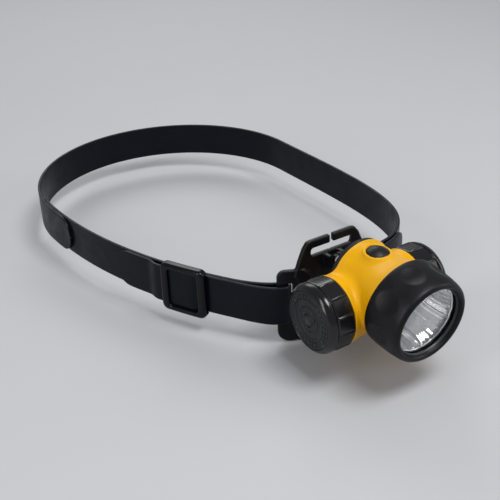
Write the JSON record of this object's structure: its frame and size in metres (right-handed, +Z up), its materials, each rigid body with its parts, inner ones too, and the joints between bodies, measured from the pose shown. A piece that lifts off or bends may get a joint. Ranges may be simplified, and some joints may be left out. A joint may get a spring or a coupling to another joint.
{
  "type": "cap lamp",
  "caption": "Self-contained cap lamp on a rubber helmet strap: tilting head with a screw bezel, push button on top and a transverse battery tube with screw end caps.",
  "frame": {"origin": "middle of the strap loop, at half the strap's height, where the helmet's axis passes", "axes": "-Y is forward, the way the beam points; +Z is up along the helmet's axis; X runs across, along the battery tube"},
  "size_m": [0.2004, 0.379, 0.0738],
  "materials": {
    "black_plastic": "satin moulded black plastic",
    "cap_plastic": "glossy moulded black plastic",
    "cap_face": "matte dark grey moulded plastic",
    "foam": "closed-cell rubber pad",
    "strap_rubber": "satin black strap rubber",
    "grip_rubber": "matte black rubber",
    "yellow_plastic": "satin yellow-orange moulded plastic",
    "steel": "zinc-plated steel",
    "seal": "red-brown silicone",
    "mirror_metal": "vacuum-plated mirror",
    "aluminium": "machined",
    "board": "coated circuit board",
    "white_board": "white-masked aluminium board",
    "emitter": "phosphor under a clear dome",
    "wire": "wire insulation",
    "switch": "moulded switch",
    "carrier": "moulded carrier",
    "cell": null,
    "brass": "plated brass",
    "clear": "clear polycarbonate"
  },
  "bodies": {
    "mount": {"bracket_plate": "black_plastic", "bracket_pad": "foam", "tilt_screw": "steel", "tilt_nut": "steel", "front_strap": "strap_rubber", "rear_strap": "strap_rubber"},
    "slider": {"strap_slider": "black_plastic"},
    "head": {"lamp_body": "yellow_plastic", "rear_mount": "black_plastic", "mount_screws": "steel", "bezel_oring": "seal", "cap_orings": "seal", "reflector": "mirror_metal", "reflector_gasket": "grip_rubber", "heat_sink": "aluminium", "led_board": "white_board", "led_emitter": "emitter", "lead_wires": "wire", "switch_board": "board", "switch_body": "switch", "stem_seal": "seal", "battery_carrier": "carrier", "battery_cells": "cell", "contact_strip": "brass"},
    "lens_pack": {"lens": "clear", "lens_gasket": "grip_rubber"},
    "bezel": {"bezel_ring": "black_plastic", "bezel_grip": "grip_rubber"},
    "push_button": {"button": "grip_rubber", "switch_plunger": "switch"},
    "left_contact": {"left_contact_plate": "brass", "left_contact_spring": "steel"},
    "left_cap": {"left_cap": "cap_plastic", "left_cap_disc": "cap_face"},
    "right_contact": {"right_contact_plate": "brass", "right_contact_spring": "steel"},
    "right_cap": {"right_cap": "cap_plastic", "right_cap_disc": "cap_face"}
  },
  "joints": [
    {"name": "head_tilt", "type": "hinge", "parent": "mount", "child": "head", "pos_m": [0, -0.161, 0.029], "axis": [1, 0, 0], "range_deg": [-15, 30]},
    {"name": "slider_travel", "type": "hinge", "parent": "mount", "child": "slider", "pos_m": [0.216, 0.045, 0], "axis": [0, 0, 1], "range_deg": [-3, 0]},
    {"name": "bezel_advance", "type": "slide", "parent": "head", "child": "lens_pack", "axis": [0, -0.9936, -0.1132], "range_m": [0, 0.0076]},
    {"name": "bezel_turn", "type": "hinge", "parent": "lens_pack", "child": "bezel", "pos_m": [0, -0.21727, 0.02104], "axis": [0, -0.9936, -0.1132], "range_deg": [0, 1080]},
    {"name": "button_press", "type": "slide", "parent": "head", "child": "push_button", "axis": [0, 0.1132, -0.9936], "range_m": [0, 0.0012], "stiffness_N_per_m": 900},
    {"name": "left_cap_advance", "type": "slide", "parent": "head", "child": "left_contact", "axis": [-1, 0, 0], "range_m": [0, 0.0076]},
    {"name": "left_cap_turn", "type": "hinge", "parent": "left_contact", "child": "left_cap", "pos_m": [-0.035, -0.18108, 0.01258], "axis": [-1, 0, 0], "range_deg": [0, 900]},
    {"name": "right_cap_advance", "type": "slide", "parent": "head", "child": "right_contact", "axis": [1, 0, 0], "range_m": [0, 0.0076]},
    {"name": "right_cap_turn", "type": "hinge", "parent": "right_contact", "child": "right_cap", "pos_m": [0.035, -0.18108, 0.01258], "axis": [1, 0, 0], "range_deg": [0, 900]}
  ],
  "couplings": [
    {"joint": "bezel_advance", "follows": "bezel_turn", "m_per_rad": 0.00039789},
    {"joint": "left_cap_advance", "follows": "left_cap_turn", "m_per_rad": 0.00047746},
    {"joint": "right_cap_advance", "follows": "right_cap_turn", "m_per_rad": 0.00047746}
  ]
}
